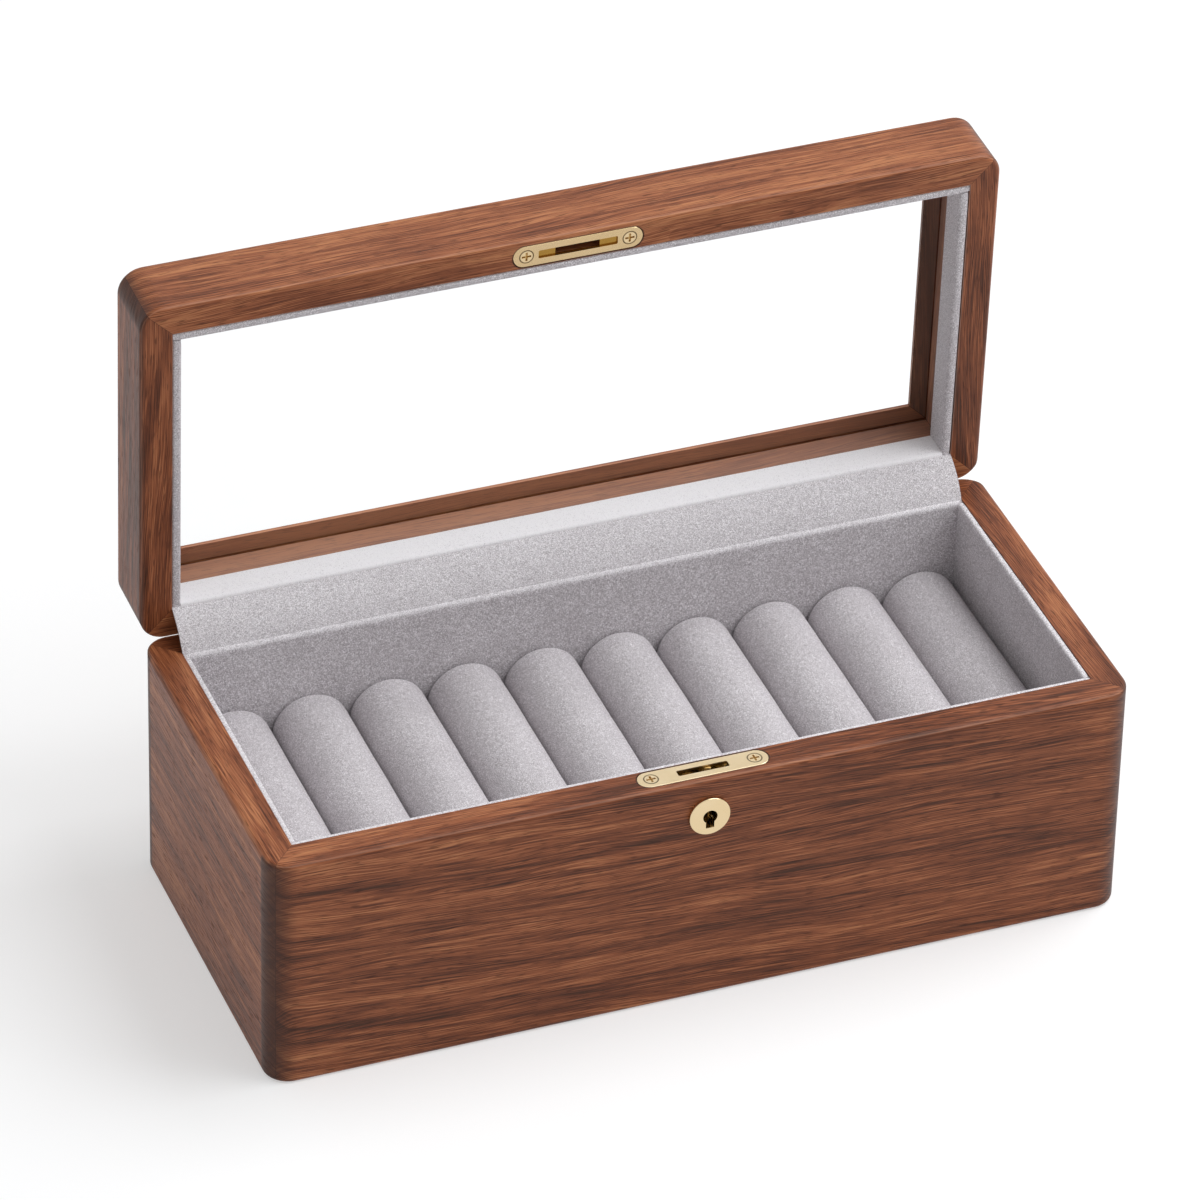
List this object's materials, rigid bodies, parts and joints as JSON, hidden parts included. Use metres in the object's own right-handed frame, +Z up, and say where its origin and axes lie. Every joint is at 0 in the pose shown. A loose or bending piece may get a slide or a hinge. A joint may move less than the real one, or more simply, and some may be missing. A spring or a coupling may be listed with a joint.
{
  "type": "bangle box",
  "caption": "Lockable walnut bangle box with a glazed hinged lid, velvet linings and lift-out padded rolls that run from front to back.",
  "frame": {"origin": "centre of the underside of the base, on the surface that the box stands on", "axes": "+X along the length to the right, +Y to the back where the hinges are, +Z up"},
  "size_m": [0.33, 0.1754, 0.2437],
  "materials": {
    "walnut": "satin oiled walnut",
    "plywood": "sanded birch plywood",
    "beech": "turned, bare",
    "velvet": "short light grey pile",
    "glass": "clear float glass",
    "brass": "polished",
    "steel": "zinc plated"
  },
  "bodies": {
    "base": {"base_front_board": "walnut", "base_back_board": "walnut", "base_left_board": "walnut", "base_right_board": "walnut", "base_bottom_panel": "plywood", "base_lining_front": "velvet", "base_lining_back": "velvet", "base_lining_left": "velvet", "base_lining_right": "velvet", "base_lining_floor": "velvet", "roll_rest_front": "velvet", "roll_rest_back": "velvet", "hinge_flap": "velvet", "lock_plate": "brass", "keyhole_escutcheon": "brass", "lock_case": "brass", "lock_cap": "brass", "base_brass_screws": "brass", "hinge_base_leaf_left": "brass", "hinge_base_leaf_right": "brass", "hinge_pin_left": "brass", "hinge_pin_right": "brass", "bolt_pivot_pin": "steel", "bolt_spring": "steel", "key_post": "steel"},
    "lid": {"lid_front_rail": "walnut", "lid_back_rail": "walnut", "lid_left_rail": "walnut", "lid_right_rail": "walnut", "lid_glass": "glass", "lid_lining_front": "velvet", "lid_lining_left": "velvet", "lid_lining_right": "velvet", "lid_flap_strip": "velvet", "striker_plate": "brass", "lid_brass_screws": "brass", "hinge_lid_leaf_left": "brass", "hinge_lid_leaf_right": "brass"},
    "hook_bolt": {"hook_bolt": "brass"},
    "roll_1": {"roll_cover_1": "velvet", "roll_core_1": "beech"},
    "roll_2": {"roll_cover_2": "velvet", "roll_core_2": "beech"},
    "roll_3": {"roll_cover_3": "velvet", "roll_core_3": "beech"},
    "roll_4": {"roll_cover_4": "velvet", "roll_core_4": "beech"},
    "roll_5": {"roll_cover_5": "velvet", "roll_core_5": "beech"},
    "roll_6": {"roll_cover_6": "velvet", "roll_core_6": "beech"},
    "roll_7": {"roll_cover_7": "velvet", "roll_core_7": "beech"},
    "roll_8": {"roll_cover_8": "velvet", "roll_core_8": "beech"},
    "roll_9": {"roll_cover_9": "velvet", "roll_core_9": "beech"},
    "roll_10": {"roll_cover_10": "velvet", "roll_core_10": "beech"}
  },
  "joints": [
    {"name": "lid_hinge", "type": "hinge", "parent": "base", "child": "lid", "pos_m": [0, 0.0727, 0.0972], "axis": [-1, 0, 0], "range_deg": [-88, 0], "deforming": ["hinge_flap"]},
    {"name": "bolt_turn", "type": "hinge", "parent": "base", "child": "hook_bolt", "pos_m": [0.012, -0.066, 0.0925], "axis": [0, 1, 0], "range_deg": [0, 75]},
    {"name": "roll_1_lift", "type": "slide", "parent": "base", "child": "roll_1", "axis": [0, 0, 1], "range_m": [0, 0.03]},
    {"name": "roll_2_lift", "type": "slide", "parent": "base", "child": "roll_2", "axis": [0, 0, 1], "range_m": [0, 0.03]},
    {"name": "roll_3_lift", "type": "slide", "parent": "base", "child": "roll_3", "axis": [0, 0, 1], "range_m": [0, 0.03]},
    {"name": "roll_4_lift", "type": "slide", "parent": "base", "child": "roll_4", "axis": [0, 0, 1], "range_m": [0, 0.03]},
    {"name": "roll_5_lift", "type": "slide", "parent": "base", "child": "roll_5", "axis": [0, 0, 1], "range_m": [0, 0.03]},
    {"name": "roll_6_lift", "type": "slide", "parent": "base", "child": "roll_6", "axis": [0, 0, 1], "range_m": [0, 0.03]},
    {"name": "roll_7_lift", "type": "slide", "parent": "base", "child": "roll_7", "axis": [0, 0, 1], "range_m": [0, 0.03]},
    {"name": "roll_8_lift", "type": "slide", "parent": "base", "child": "roll_8", "axis": [0, 0, 1], "range_m": [0, 0.03]},
    {"name": "roll_9_lift", "type": "slide", "parent": "base", "child": "roll_9", "axis": [0, 0, 1], "range_m": [0, 0.03]},
    {"name": "roll_10_lift", "type": "slide", "parent": "base", "child": "roll_10", "axis": [0, 0, 1], "range_m": [0, 0.03]}
  ]
}
